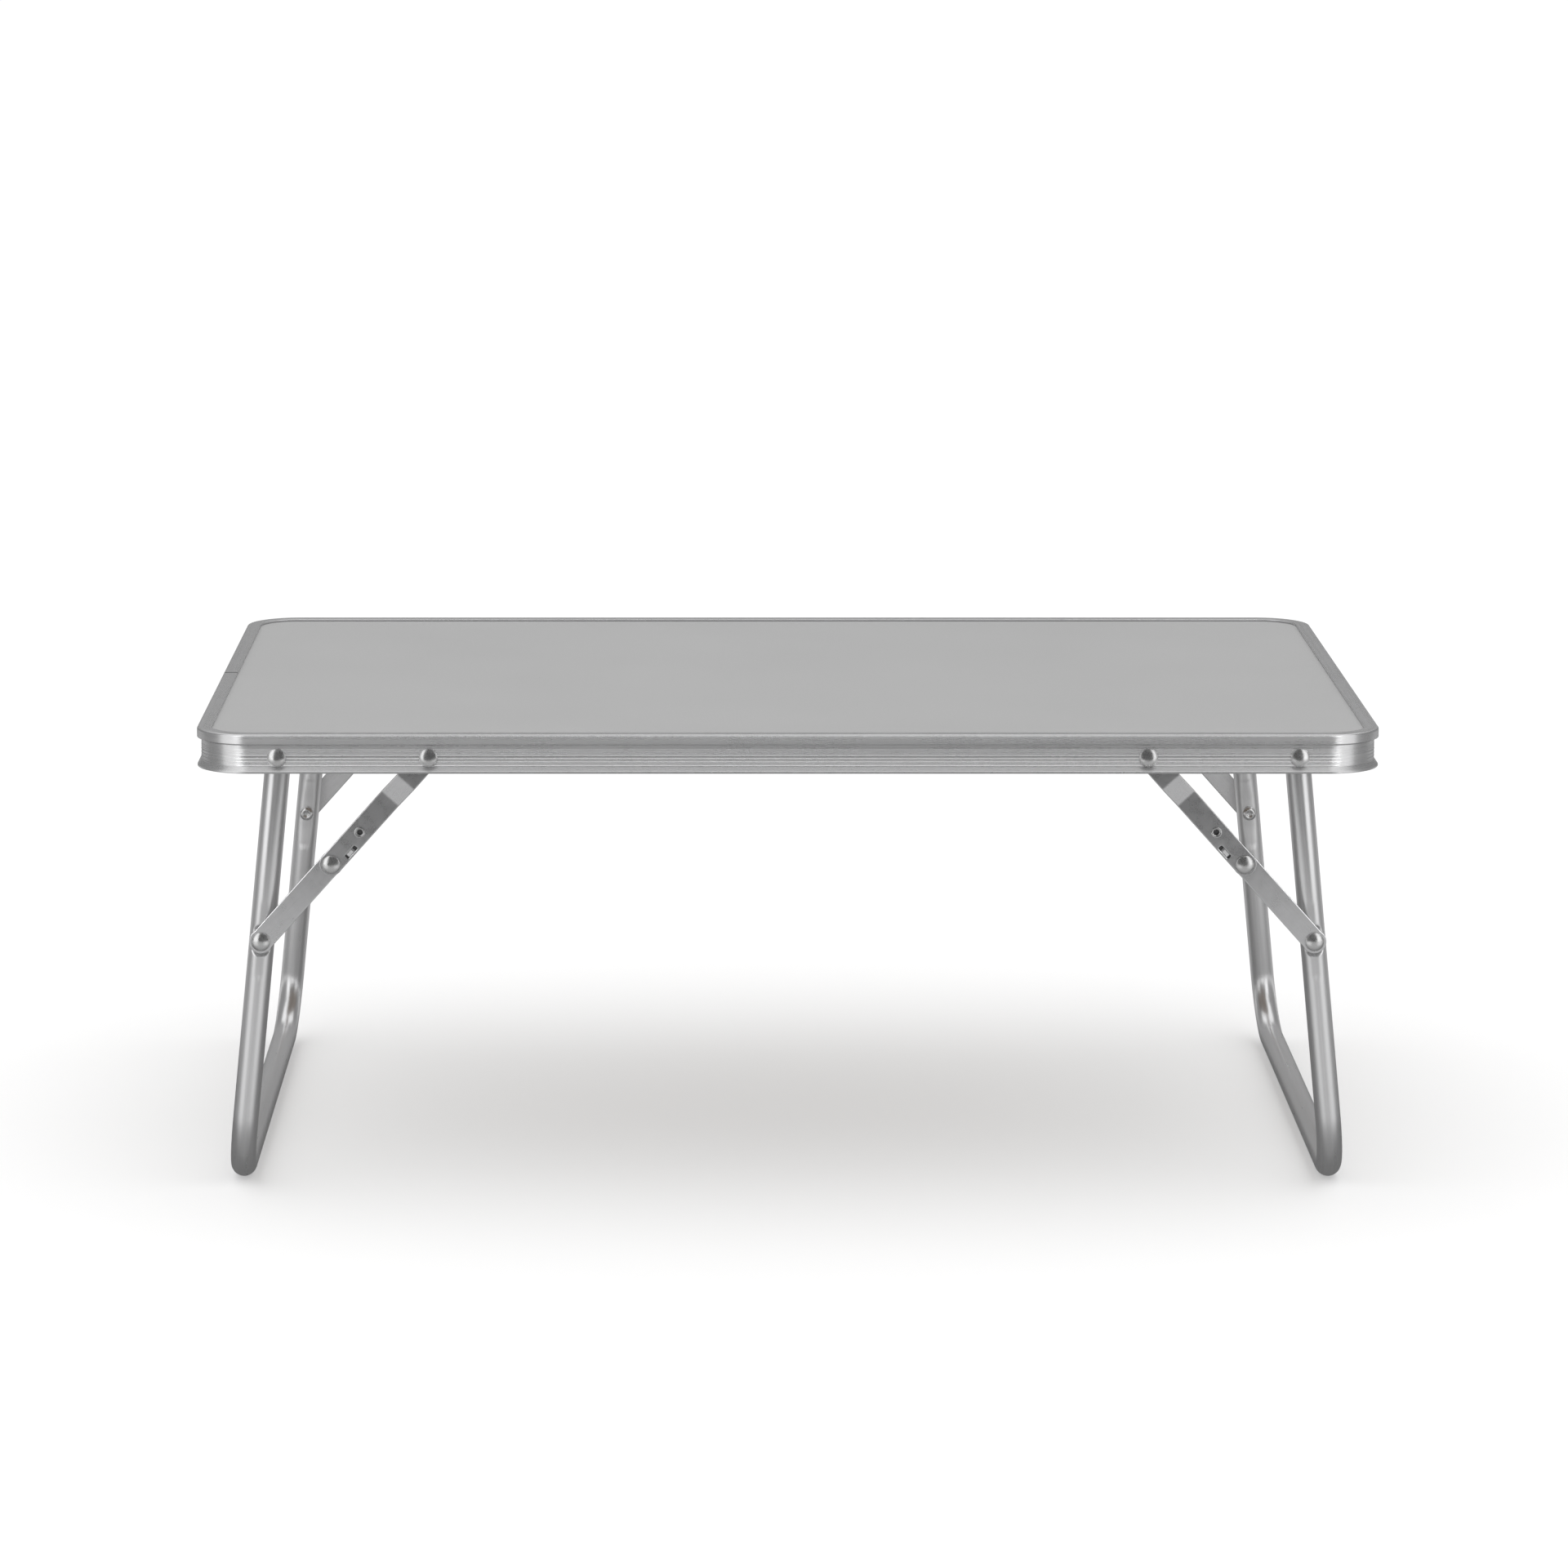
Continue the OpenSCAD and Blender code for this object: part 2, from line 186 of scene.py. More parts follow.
def lathe(bm, profile, place, segments=64):
    """Turns a profile of (radius, height) points; place(x, height, z) gives the real point."""
    rings = []
    for radius, height in profile:
        if radius < NO_LENGTH:
            rings.append([bm.verts.new(place(0, height, 0))])
            continue
        rings.append([
            bm.verts.new(place(radius * math.cos(a), height, radius * math.sin(a)))
            for a in (2 * math.pi * k / segments for k in range(segments))
        ])
    for low, high in zip(rings, rings[1:]):
        for k in range(segments):
            n = (k + 1) % segments
            ring = []
            around = (low[k % len(low)], low[n % len(low)], high[n % len(high)], high[k % len(high)])
            for vert in around:
                if vert not in ring:
                    ring.append(vert)
            if len(ring) > 2:
                bm.faces.new(ring)


# ---------------------------------------------------------------- shader helpers

class Shader:
    """A material's node tree, with short calls to add and join nodes."""

    def __init__(self, name):
        self.material = bpy.data.materials.new(name)
        self.material.use_nodes = True
        self.tree = self.material.node_tree
        self.tree.nodes.clear()
        self.output = self.tree.nodes.new("ShaderNodeOutputMaterial")

    def node(self, kind, inputs=None, **settings):
        """Adds a shader node with these inputs and settings."""
        made = self.tree.nodes.new("ShaderNode" + kind)
        for key, value in settings.items():
            setattr(made, key, value)
        for key, value in (inputs or {}).items():
            self.feed(made.inputs[key], value)
        return made

    def feed(self, socket, value):
        """Joins another node's output to a socket, or sets the socket's own value."""
        if isinstance(value, bpy.types.NodeSocket):
            self.tree.links.new(value, socket)
        else:
            socket.default_value = value

    def coords(self, space, scale):
        """Texture coordinates of that space, stretched by a scale for each axis."""
        source = self.node("TexCoord").outputs[space]
        return self.node("Mapping", {"Vector": source, "Scale": scale}).outputs[0]

    def noise(self, space, scale, size, detail=3.0, rough=0.55):
        """Cloudy noise from 0 to 1, mostly between 0.3 and 0.7."""
        vector = self.coords(space, scale)
        return self.node("TexNoise", {"Vector": vector, "Scale": size, "Detail": detail,
                                      "Roughness": rough}).outputs["Fac"]

    def math(self, kind, a, b=0.0, c=0.0):
        """The result of a Math node."""
        made = self.node("Math", operation=kind)
        for socket, value in zip(made.inputs, (a, b, c)):
            self.feed(socket, value)
        return made.outputs[0]

    def spread(self, fac, low, high, start=0.3, stop=0.7):
        """Maps a noise value from its usual span to low..high."""
        return self.node("MapRange", {"Value": fac, "From Min": start, "From Max": stop,
                                      "To Min": low, "To Max": high}).outputs[0]

    def smooth_step(self, value, low, high):
        """Rises smoothly from 0 at low to 1 at high."""
        return self.node("MapRange", {"Value": value, "From Min": low, "From Max": high},
                         interpolation_type="SMOOTHSTEP").outputs[0]

    def grey(self, value):
        """A grey of that brightness."""
        return self.node("CombineColor", {"Red": value, "Green": value, "Blue": value}).outputs[0]

    def tint(self, value, color):
        """A colour scaled by a grey value."""
        mixed = self.node("Mix", {"Factor": 1.0, "A": self.grey(value), "B": (*color, 1)},
                          data_type="RGBA", blend_type="MULTIPLY")
        return mixed.outputs[2]

    def bump(self, height, strength, distance, normal=None):
        """A normal disturbed by a height, on top of an earlier normal if there is one."""
        inputs = {"Height": height, "Strength": strength, "Distance": distance}
        if normal is not None:
            inputs["Normal"] = normal
        return self.node("Bump", inputs).outputs[0]

    def finish(self, **inputs):
        """Ends the tree in a Principled shader with these inputs and gives back the material."""
        names = {"color": "Base Color", "metal": "Metallic", "rough": "Roughness",
                 "normal": "Normal", "aniso": "Anisotropic", "specular": "Specular IOR Level",
                 "turn": "Anisotropic Rotation", "tangent": "Tangent"}
        principled = self.node("BsdfPrincipled", {names[k]: v for k, v in inputs.items()})
        self.tree.links.new(principled.outputs[0], self.output.inputs[0])
        return self.material


RAIL_RUN = 4 * (HALF_L + HALF_W - 2 * CORNER_R) + 2 * math.pi * CORNER_R
# Where the painted shade at the rail's seam starts and where it is full, along the rail's run.
SEAM_SHADE_START = RAIL_RUN / 2 - 1.7 * MM
SEAM_SHADE_FULL = RAIL_RUN / 2 - 0.7 * MM


def rail_material(name, seam=False):
    """Satin anodised aluminium: fine drawn lines, faint handling marks and, if asked, painted shade darkening the
    colour at the seam.
    """
    s = Shader(name)
    lines = s.noise("UV", (2, 1300, 1), 1.0, 1.0)
    broad = s.noise("UV", (4, 200, 1), 1.0, 1.0)
    marks = s.noise("Object", (1, 1, 1), 38.0, 4.0)
    rough = s.math("ADD", s.spread(lines, 0.25, 0.31), s.spread(marks, -0.02, 0.03))
    value = s.math("MULTIPLY", s.spread(broad, 0.96, 1.03), s.spread(lines, 0.97, 1.02))
    if seam:
        # Painted shade: near the cut ends the colour is darkened to a fifth, standing in for the shade in the seam
        # gap.
        along = s.node("SeparateXYZ", {0: s.node("TexCoord").outputs["UV"]}).outputs["X"]
        from_middle = s.math("ABSOLUTE", s.math("SUBTRACT", along, RAIL_RUN / 2))
        seam_shade = s.smooth_step(from_middle, SEAM_SHADE_START, SEAM_SHADE_FULL)
        value = s.math("MULTIPLY", value, s.math("MULTIPLY_ADD", seam_shade, -0.8, 1.0))
    normal = s.bump(lines, 0.05, 0.00004)
    across = s.node("Tangent", direction_type="UV_MAP", uv_map="UVMap").outputs[0]
    return s.finish(color=s.tint(value, (0.62, 0.62, 0.625)), metal=0.88, rough=rough,
                    normal=normal, tangent=across, aniso=0.15, turn=0.25)


def tube_material():
    """Drawn aluminium tube with long soft streaks."""
    s = Shader("drawn_aluminium_tube")
    lines = s.noise("UV", (4, 1500, 1), 1.0, 2.0)
    broad = s.noise("UV", (5, 190, 1), 1.0, 2.0)
    marks = s.noise("Object", (1, 1, 1), 55.0, 4.0)
    rough = s.math("ADD", s.spread(lines, 0.28, 0.33), s.spread(marks, -0.015, 0.02))
    value = s.math("MULTIPLY", s.spread(broad, 0.95, 1.03), s.spread(lines, 0.97, 1.03))
    normal = s.bump(lines, 0.06, 0.00002)
    return s.finish(color=s.tint(value, (0.78, 0.78, 0.785)), metal=0.93, rough=rough,
                    normal=normal)


def zinc_material(name, tone, rough_low, rough_high):
    """Zinc-plated steel: cloudy plating, fine tumbling scratches."""
    s = Shader(name)
    cloud = s.noise("Object", (1, 1, 1), 160.0, 5.0, 0.6)
    grain = s.noise("Object", (1, 1, 1), 2600.0, 2.0)
    scratch = s.noise("UV", (45, 2400, 1), 1.0, 3.0)
    rough = s.math("ADD", s.spread(cloud, rough_low, rough_high), s.spread(grain, -0.02, 0.02))
    value = s.math("MULTIPLY", s.spread(cloud, 0.94, 1.04), s.spread(scratch, 0.96, 1.03))
    normal = s.bump(scratch, 0.07, 0.00002, s.bump(grain, 0.04, 0.00001))
    return s.finish(color=s.tint(value, (tone, tone, tone * 1.01)), metal=0.92, rough=rough,
                    normal=normal)


def rivet_material():
    """Polished nickel plate with a few hair scratches."""
    s = Shader("polished_rivet")
    cloud = s.noise("Object", (1, 1, 1), 420.0, 4.0)
    scratch = s.noise("Object", (1, 6, 14), 900.0, 3.0)
    rough = s.math("ADD", s.spread(cloud, 0.2, 0.34), s.spread(scratch, -0.01, 0.03))
    normal = s.bump(scratch, 0.05, 0.00002, s.bump(cloud, 0.3, 0.0001))
    value = s.spread(cloud, 0.96, 1.02)
    return s.finish(color=s.tint(value, (0.80, 0.80, 0.80)), metal=1.0, rough=rough, normal=normal)


def laminate_material():
    """Matte laminate: pale grey, a fine pebbled skin, sparse specks."""
    s = Shader("matte_laminate")
    skin = s.noise("Object", (1, 1, 1), 1700.0, 2.0)
    cloud = s.noise("Object", (1, 1, 1), 9.0, 3.0)
    fine = s.noise("Object", (1, 1, 1), 900.0, 4.0)
    cells = s.node("TexVoronoi", {"Vector": s.coords("Object", (1, 1, 1)), "Scale": 26.0})
    speck = s.math("LESS_THAN", cells.outputs["Distance"], 0.014)
    value = s.math("MULTIPLY", s.spread(cloud, 0.985, 1.01), s.spread(fine, 0.98, 1.02))
    value = s.math("MULTIPLY", value, s.math("SUBTRACT", 1.0, s.math("MULTIPLY", speck, 0.12)))
    rough = s.math("ADD", s.spread(skin, 0.46, 0.56), s.spread(cloud, -0.02, 0.02))
    return s.finish(color=s.tint(value, (0.385, 0.385, 0.385)), metal=0.0, rough=rough,
                    normal=s.bump(skin, 0.12, 0.00008), specular=0.35)


def hardboard_material():
    """Pressed hardboard: brown, with short fibres and a wire-screen imprint."""
    s = Shader("pressed_hardboard")
    fibre = s.noise("Object", (1, 3.5, 1), 420.0, 6.0, 0.7)
    cloud = s.noise("Object", (1, 1, 1), 14.0, 4.0)
    weave_x = s.node("TexWave", {"Vector": s.coords("Object", (1, 1, 1)), "Scale": 160.0},
                     bands_direction="X")
    weave_y = s.node("TexWave", {"Vector": s.coords("Object", (1, 1, 1)), "Scale": 160.0},
                     bands_direction="Y")
    screen = s.math("MULTIPLY", weave_x.outputs["Fac"], weave_y.outputs["Fac"])
    value = s.math("MULTIPLY", s.spread(fibre, 0.72, 1.18), s.spread(cloud, 0.92, 1.06))
    height = s.math("ADD", s.math("MULTIPLY", screen, 0.6), s.math("MULTIPLY", fibre, 0.5))
    return s.finish(color=s.tint(value, (0.21, 0.175, 0.145)), metal=0.0, rough=0.78,
                    normal=s.bump(height, 0.45, 0.0003), specular=0.25)


def spring_material():
    """Spring steel with painted shade: nearly black where the leaf lies back behind the link, full tone where the
    thumb tab stands up into the window.
    """
    s = Shader("spring_steel")
    cloud = s.noise("Object", (1, 1, 1), 300.0, 4.0)
    grain = s.noise("UV", (90, 1800, 1), 1.0, 3.0)
    value = s.math("MULTIPLY", s.spread(cloud, 0.9, 1.06), s.spread(grain, 0.96, 1.03))
    place = s.node("SeparateXYZ", {0: s.node("TexCoord").outputs["Object"]}).outputs
    outward = s.math("ABSOLUTE", place["Y"])
    # Painted shade: the leaf keeps a tenth of its tone where it lies behind the link, so the gaps round the tab
    # read as shaded; only the raised tab stays bright.
    clear_of_painted_shade = s.smooth_step(outward, LINK_LOW_Y + 0.1 * MM, LINK_LOW_Y + 0.7 * MM)
    value = s.math("MULTIPLY", value, s.math("MULTIPLY_ADD", clear_of_painted_shade, 0.82, 0.1))
    return s.finish(color=s.tint(value, (1.0, 1.0, 1.01)), metal=0.95,
                    rough=s.spread(cloud, 0.2, 0.32), normal=s.bump(grain, 0.06, 0.00002))


def bore_shade_material():
    """Near-black painted shade for the inside of a small bore, with faint random tone."""
    s = Shader("bore_painted_shade")
    dust = s.noise("Object", (1, 1, 1), 1500.0, 4.0)
    return s.finish(color=s.tint(s.spread(dust, 0.6, 1.4), (0.02, 0.02, 0.02)), metal=0.0,
                    rough=s.spread(dust, 0.6, 0.9), specular=0.05)


MATERIALS = {
    "rail_aluminium": rail_material("satin_anodised_aluminium"),
    "tube_aluminium": tube_material(),
    "zinc_steel": zinc_material("zinc_plated_steel", 0.86, 0.26, 0.36),
    "rivet_steel": rivet_material(),
    "laminate": laminate_material(),
    "hardboard": hardboard_material(),
    "spring_steel": spring_material(),
}
# The upper links take a darker copy of the zinc steel, tone 0.74 against 0.86.
UPPER_LINK_METAL = zinc_material("zinc_plated_upper_link", 0.74, 0.24, 0.34)
RAIL_METAL = rail_material("satin_anodised_rail", seam=True)
BORE_SHADE = bore_shade_material()


def dress(obj, slot, material=None):
    """Gives an object the one material of its slot."""
    obj.data.materials.clear()
    obj.data.materials.append(material or MATERIALS[slot])


def place_piece(obj, body, slot, nodes, material=None):
    """Gives a new piece its body and its slot's material, and hides the CAD nodes it stands for."""
    dress(obj, slot, material)
    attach(obj, body)
    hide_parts(*nodes)


# ---------------------------------------------------------------- edge rail

# Each ridge's depth below the top and how far it stands out, in millimetres.
RIDGES = ((8.1, 0.08), (8.95, 0.08), (9.8, 0.08), (11.0, 0.16), (12.7, 0.16), (13.5, 0.07),
          (14.4, 0.16), (15.2, 0.09), (16.25, 0.19))
RIDGE_SLOPE = 2.75
RIDGE_UNDERCUT = 0.15
RIDGE_ROUND = 0.03

# Depths below the top and distances in from the outer face, in millimetres.
BAND_DEPTH = 4.9
WEB_START = 5.75
FLARE_START = 16.6
FLARE_STOP = 18.6
FOOT_INSET = 0.08
FOOT_DEPTH = 19.05
GROOVE_TOP = 1.16
GROOVE_BOTTOM = 4.44
LEDGE_BOTTOM = 5.4
WEB_OUT = 2.2
WEB_IN = 3.4
LIP_W = 7.5

SEAM_GAP = 0.3 * MM
SEAM_CHAMFER = 0.1 * MM
SEAM_BREAK = 0.4 * MM


def rail_outline():
    """The rail's section as (distance in from the outer face, depth below the top), in metres."""
    depth = RAIL_H / MM
    corners = [(LIP_W, 0, 0.35), (0, 0, 1.0), (0, BAND_DEPTH, 0.15), (WEB_OUT, WEB_START, 0.3)]
    for row, rise in RIDGES:
        corners += [
            (WEB_OUT, row - rise * RIDGE_SLOPE, RIDGE_ROUND),
            (WEB_OUT - rise, row, RIDGE_ROUND),
            (WEB_OUT, row + rise * RIDGE_UNDERCUT, RIDGE_ROUND),
        ]
    flare = [(WEB_OUT, FLARE_START, 0.2), (0.5, FLARE_STOP, 0.15)]
    foot = [(FOOT_INSET, FOOT_DEPTH, 0.12), (FOOT_INSET, depth, 0.4), (WEB_IN, depth, 0.5)]
    ledge = [(WEB_IN, LEDGE_BOTTOM, 0.3), (LIP_W, LEDGE_BOTTOM, 0.2), (LIP_W, GROOVE_BOTTOM, 0.2)]
    groove = [(WEB_IN, GROOVE_BOTTOM, 0.1), (WEB_IN, GROOVE_TOP, 0.1), (LIP_W, GROOVE_TOP, 0.4)]
    return [(x * MM, y * MM) for x, y in fillet(corners + flare + foot + ledge + groove)]


def rail_path(gap):
    """Frames round the table from one side of the left seam to the other: point, outward normal."""
    leftward = (-1, 0)
    cut = gap / 2
    broken = cut + SEAM_BREAK
    x = HALF_L - CORNER_R
    y = HALF_W - CORNER_R
    steps = 24
    frames = [((-HALF_L, -cut), leftward), ((-HALF_L, -broken), leftward)]
    for centre_x, centre_y, first in ((-x, -y, 180), (x, -y, 270), (x, y, 0), (-x, y, 90)):
        for k in range(steps + 1):
            a = math.radians(first + 90 * k / steps)
            n = (math.cos(a), math.sin(a))
            frames.append(((centre_x + CORNER_R * n[0], centre_y + CORNER_R * n[1]), n))
    frames += [((-HALF_L, broken), leftward), ((-HALF_L, cut), leftward)]
    return frames


def chamfered(row):
    """The rail's cut end with its edge broken, so that the seam shows as a fine groove."""
    out = []
    for k, (x, y, z) in enumerate(row):
        before = row[k - 1]
        after = row[(k + 1) % len(row)]
        along = Vector((after[0] - before[0], after[2] - before[2])).normalized()
        out.append((x - along.y * SEAM_CHAMFER, y, z + along.x * SEAM_CHAMFER))
    return out


def build_rail(bm):
    """Draws the rail's section round the table, open at the seam."""
    outline = rail_outline()
    frames = rail_path(SEAM_GAP)
    rows = []
    run = [0.0]
    for i, ((px, py), (nx, ny)) in enumerate(frames):
        rows.append([(px - nx * u, py - ny * u, TOP_Z - d) for u, d in outline])
        if i:
            run.append(run[-1] + math.dist(frames[i - 1][0], (px, py)))
    rows[0] = chamfered(rows[0])
    rows[-1] = chamfered(rows[-1])
    verts = add_grid(bm, rows, run, girth(outline), closed_rows=True)
    bm.faces.new(verts[0])
    bm.faces.new(verts[-1])


# ---------------------------------------------------------------- legs

BEND_R = 32 * MM
TUBE_END_R = 7.2 * MM
TUBE_WALL = 1.2 * MM
TUBE_SIDES = 48
BORE_SHOWN = 60 * MM

# The flat that is pressed into each upright at the leg rivet, and the seat of the brace in it.
PRESS_DEPTH = 1.7 * MM
PRESS_REACH = 6.5 * MM
PRESS_FADE = 13 * MM
PRESS_LEAST = 1e-6
PRESS_BACK = 0.35
PRESS_BULGE = 12
SEAT_R = 6.4 * MM
SEAT_FADE = 2.2 * MM


def upright_downs(straight):
    """Places of the rings down an upright, closest together at the pressed flat."""
    step = 1.5 * MM
    downs = [-TUBE_END_R]
    while downs[-1] < straight - step:
        away = abs(downs[-1] - LEG_RIVET_DIST)
        if away < 11 * MM:
            downs.append(downs[-1] + step / 3)
        elif away < 24 * MM or downs[-1] < 10 * MM:
            downs.append(downs[-1] + step)
        else:
            downs.append(downs[-1] + step * 4)
    downs[-1] = straight
    return downs


def leg_path():
    """The U in its own plane: (across, down, tangent angle) from one pivot end to the other."""
    straight = BAR_DROP - BEND_R
    half = [(LEG_SPAN, down, 0.0) for down in upright_downs(straight)]
    steps = 28
    for k in range(1, steps + 1):
        a = math.radians(90 * k / steps)
        half.append((LEG_SPAN - BEND_R + BEND_R * math.cos(a), straight + BEND_R * math.sin(a), a))
    return half + [(-across, down, math.pi - a) for across, down, a in reversed(half)]


def soft_min(a, b, k):
    """The smaller of two values, with the change between them rounded over k."""
    h = max(k - abs(a - b), 0) / k
    return min(a, b) - h * h * k / 4


def smooth(x):
    """Rises smoothly from 0 at 0 to 1 at 1."""
    x = min(max(x, 0.0), 1.0)
    return x * x * (3 - 2 * x)


def pressed(away, full, fade):
    """How deep the tube is pressed flat at this distance from the leg rivet."""
    return PRESS_DEPTH * (1 - smooth((away - full) / fade))


def tube_ring(across, down, turn, side, radius):
    """One ring of the leg tube, with the flat for the brace pressed into its outboard face."""
    along = LEG_DIR_SIDE[side]
    out = Vector((0, math.cos(turn), 0)) + along * math.sin(turn)
    broad = Vector((-along.z, 0, along.x))
    centre = Vector((side * LEG_PIVOT.x, 0, LEG_PIVOT.z)) + along * down
    centre.y = across
    away = abs(down - LEG_RIVET_DIST)
    spread = pressed(away, PRESS_REACH, PRESS_FADE)
    ring = []
    for k in range(TUBE_SIDES):
        a = 2 * math.pi * k / TUBE_SIDES
        n = radius * math.cos(a)
        b = radius * math.sin(a)
        if spread > PRESS_LEAST:
            seat = pressed(math.hypot(away, b), SEAT_R, SEAT_FADE)
            n = soft_min(n, radius - seat, 0.8 * MM)
            n = -soft_min(-n, radius - spread * PRESS_BACK, 1.2 * MM)
            b *= 1 + PRESS_BULGE * spread * (abs(n) / radius)
        point = centre + out * n + broad * b
        if down < 0:
            limit = math.sqrt(max(TUBE_END_R ** 2 - b ** 2, 0))
            point -= along * (min(-down, limit) + down)
        ring.append(point)
    return ring


def build_leg(side):
    """One U-shaped tube, with a wall and a bore at its two open ends."""
    def build(bm):
        path = leg_path()
        circle = [2 * math.pi * TUBE_R * k / TUBE_SIDES for k in range(TUBE_SIDES + 1)]
        run = [0.0]
        for a, b in zip(path, path[1:]):
            run.append(run[-1] + math.dist(a[:2], b[:2]))
        outer = add_grid(bm, [tube_ring(*p, side, TUBE_R) for p in path], run, circle, True)
        bore_r = TUBE_R - TUBE_WALL
        rows = [i for i, p in enumerate(path) if p[2] in (0.0, math.pi) and p[1] < BORE_SHOWN]
        half = len(rows) // 2
        for chosen, end in ((rows[:half], 0), (rows[half:], -1)):
            inner = add_grid(bm, [tube_ring(*path[i], side, bore_r) for i in chosen],
                             [run[i] for i in chosen], circle, True)
            rim = inner[0] if end == 0 else inner[-1]
            deep = inner[-1] if end == 0 else inner[0]
            bm.faces.new(deep)
            for k in range(TUBE_SIDES):
                n = (k + 1) % TUBE_SIDES
                bm.faces.new((outer[end][k], outer[end][n], rim[n], rim[k]))
    return build


# ---------------------------------------------------------------- links

LINK_HALF_W = 5.85 * MM
LINK_EDGE = 0.5 * MM

# The upper link's two bends, in millimetres from the rail pivot.
CRANK_START = 17.4
CRANK_STOP = 29.5
CRANK_ROUND = 0.08


def link_outline(length, first_r, last_r):
    """A bar's outline with round ends, from (0, 0) to (length, 0)."""
    points = []
    steps = 40
    for centre, radius, facing in ((0, first_r, math.pi), (length, last_r, 0)):
        sweep = math.pi - math.asin(LINK_HALF_W / radius)
        for k in range(steps + 1):
            a = facing - sweep + 2 * sweep * k / steps
            points.append((centre + radius * math.cos(a), radius * math.sin(a)))
    return points


def plate_mesh(loops, thickness, edge):
    """A flat plate with rounded edges, filled between loops of points, as vertices and faces."""
    curve = bpy.data.curves.new("plate", "CURVE")
    curve.dimensions = "2D"
    curve.fill_mode = "BOTH"
    curve.extrude = thickness / 2 - edge
    curve.bevel_depth = edge
    curve.bevel_resolution = 3
    curve.offset = -edge
    for loop in loops:
        spline = curve.splines.new("POLY")
        spline.points.add(len(loop) - 1)
        for point, (x, y) in zip(spline.points, loop):
            point.co = (x, y, 0, 1)
        spline.use_cyclic_u = True
    holder = bpy.data.objects.new("plate", curve)
    bpy.context.scene.collection.objects.link(holder)
    bpy.context.view_layer.update()
    depsgraph = bpy.context.evaluated_depsgraph_get()
    mesh = bpy.data.meshes.new_from_object(holder.evaluated_get(depsgraph))
    bpy.data.objects.remove(holder)
    bpy.data.curves.remove(curve)
    return mesh


def brace_point(side, end, s, y, w):
    """A point s along a brace from its rail pivot, w across it and y from the table's middle."""
    x = BRACE_PIVOT.x + BRACE_DIR.x * s - BRACE_DIR.z * w
    z = BRACE_PIVOT.z + BRACE_DIR.z * s + BRACE_DIR.x * w
    return Vector((side * x, end * y, z))


def map_flat(bm):
    """Writes the place along and across a bar, in metres, as its UV map."""
    layer = bm.loops.layers.uv.verify()
    for face in bm.faces:
        for loop in face.loops:
            loop[layer].uv = loop.vert.co.xy


def crank(s):
    """Outboard shift of the upper link at distance s from the rail pivot."""
    part = (s / MM - CRANK_START) / (CRANK_STOP - CRANK_START)
    part = -soft_min(-soft_min(part, 1.0, CRANK_ROUND), 0.0, CRANK_ROUND)
    return (LINK_TOP_Y - LINK_LOW_Y) * (1 - part)


# The window's edges along and across the upper link, in millimetres.
WINDOW_ALONG = (59.85, 67.35)
WINDOW_ACROSS = (-4.65, -2.35)
WINDOW_ROUND = 0.5
RIVET_HOLE_R = 1.6 * MM


def window():
    """The catch's window, as (along, across) points of the upper link."""
    (start, stop), (low, high) = WINDOW_ALONG, WINDOW_ACROSS
    corners = ((start, low), (stop, low), (stop, high), (start, high))
    return [(x * MM, y * MM) for x, y in fillet([(*corner, WINDOW_ROUND) for corner in corners])]


def rivet_hole():
    """The hole for the hollow rivet, as (along, across) points of the upper link."""
    low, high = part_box("catch_rivet_" + corner_name(1, 1))
    away = (low + high) / 2 - BRACE_PIVOT
    s = away.x * BRACE_DIR.x + away.z * BRACE_DIR.z
    w = away.z * BRACE_DIR.x - away.x * BRACE_DIR.z
    sides = 24
    turns = [math.tau * k / sides for k in range(sides)]
    return [(s + RIVET_HOLE_R * math.cos(a), w + RIVET_HOLE_R * math.sin(a)) for a in turns]


def add_plate(bm, loops, thickness, edge):
    """Adds a plate lying on its middle plane to a mesh being built."""
    mesh = plate_mesh(loops, thickness, edge)
    bm.from_mesh(mesh)
    bpy.data.meshes.remove(mesh)


def build_upper(side, end):
    """The cranked link, with its window and its hole, cut finely across the two bends."""
    def build(bm):
        outline = link_outline(UPPER_L, first_r=6.25 * MM, last_r=5.95 * MM)
        add_plate(bm, [outline, window(), rivet_hole()], LINK_T, LINK_EDGE)
        for bend in (CRANK_START, CRANK_STOP):
            for k in range(-5, 6):
                s = (bend + 0.25 * k) * MM
                geom = bm.verts[:] + bm.edges[:] + bm.faces[:]
                bmesh.ops.bisect_plane(bm, geom=geom, plane_co=(s, 0, 0), plane_no=(1, 0, 0))
        map_flat(bm)
        for v in bm.verts:
            y = LINK_LOW_Y + LINK_T / 2 + v.co.z + crank(v.co.x)
            v.co = brace_point(side, end, v.co.x, y, v.co.y)
        bmesh.ops.remove_doubles(bm, verts=bm.verts, dist=WELD_DISTANCE)
    return build


def build_lower(side, end):
    """The flat link."""
    def build(bm):
        outline = link_outline(LOWER_L, first_r=5.9 * MM, last_r=6.1 * MM)
        add_plate(bm, [outline], LINK_T, LINK_EDGE)
        map_flat(bm)
        for v in bm.verts:
            y = LOWER_Y + LINK_T / 2 + v.co.z
            v.co = brace_point(side, end, UPPER_L + v.co.x, y, v.co.y)
        bmesh.ops.remove_doubles(bm, verts=bm.verts, dist=WELD_DISTANCE)
    return build


# ---------------------------------------------------------------- rivets

HEAD_R = 4.75 * MM
SHANK_R = 2.5 * MM
BORE_R = 1.2 * MM
TAIL_REACH = 0.5 * MM
SEAT_GAP = 0.03 * MM
SHANK_GAP = 0.12 * MM


